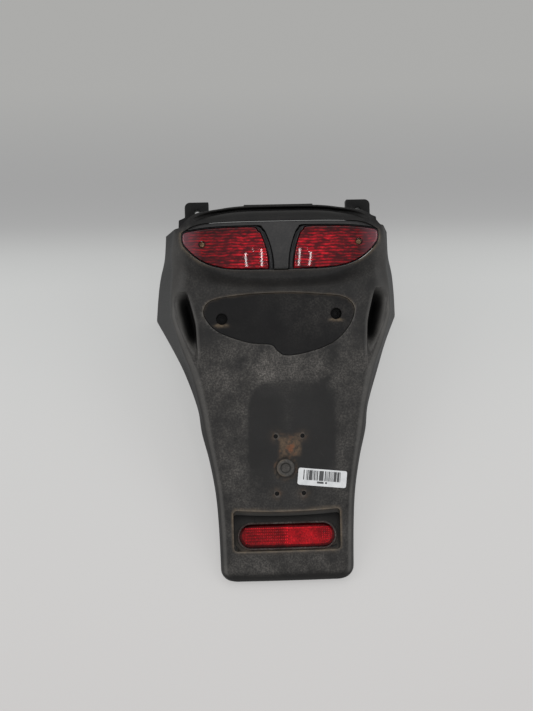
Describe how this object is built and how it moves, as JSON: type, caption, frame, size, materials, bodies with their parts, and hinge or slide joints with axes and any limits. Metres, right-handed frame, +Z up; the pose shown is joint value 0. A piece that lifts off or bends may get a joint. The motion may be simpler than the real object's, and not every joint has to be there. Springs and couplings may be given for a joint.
{
  "type": "scooter rear fender",
  "caption": "Black plastic scooter rear fender with plate panel, twin red tail lamps, an oblong red reflector and an access hatch",
  "frame": {"origin": "middle of the bounding box, on the surface that the fender lies on", "axes": "+X across the fender to the right as seen from its plate side, +Y from the tail tip to the lamps, +Z up"},
  "size_m": [0.293, 0.406, 0.191],
  "materials": {
    "shell": "fine grained, dusty",
    "lamp_tray": "satin",
    "bezel": "coarse grained",
    "lens": "clear red, fluted inside",
    "seal": "shiny black",
    "bowl": "bright",
    "bulb": "clear",
    "holder": "satin",
    "screw": "rusty",
    "hatch": "fine grained, dusty",
    "buffer": "dusty",
    "reflex_base": "satin",
    "reflex_lens": "clear red, prisms inside",
    "nut": "zinc plated",
    "label": "coated white"
  },
  "bodies": {
    "root": {"fender_shell": "shell", "lamp_housing": "lamp_tray", "lamp_bezel": "bezel", "lens_left": "lens", "lens_right": "lens", "lens_seal_left": "seal", "lens_seal_right": "seal", "reflector_bowl_left": "bowl", "reflector_bowl_right": "bowl", "bulb_left": "bulb", "bulb_right": "bulb", "bulb_holder_left": "holder", "bulb_holder_right": "holder", "lens_screws": "screw", "hatch_cover": "hatch", "plate_buffer": "buffer", "reflex_base": "reflex_base", "reflex_lens": "reflex_lens", "reflex_nuts": "nut"}
  },
  "joints": []
}
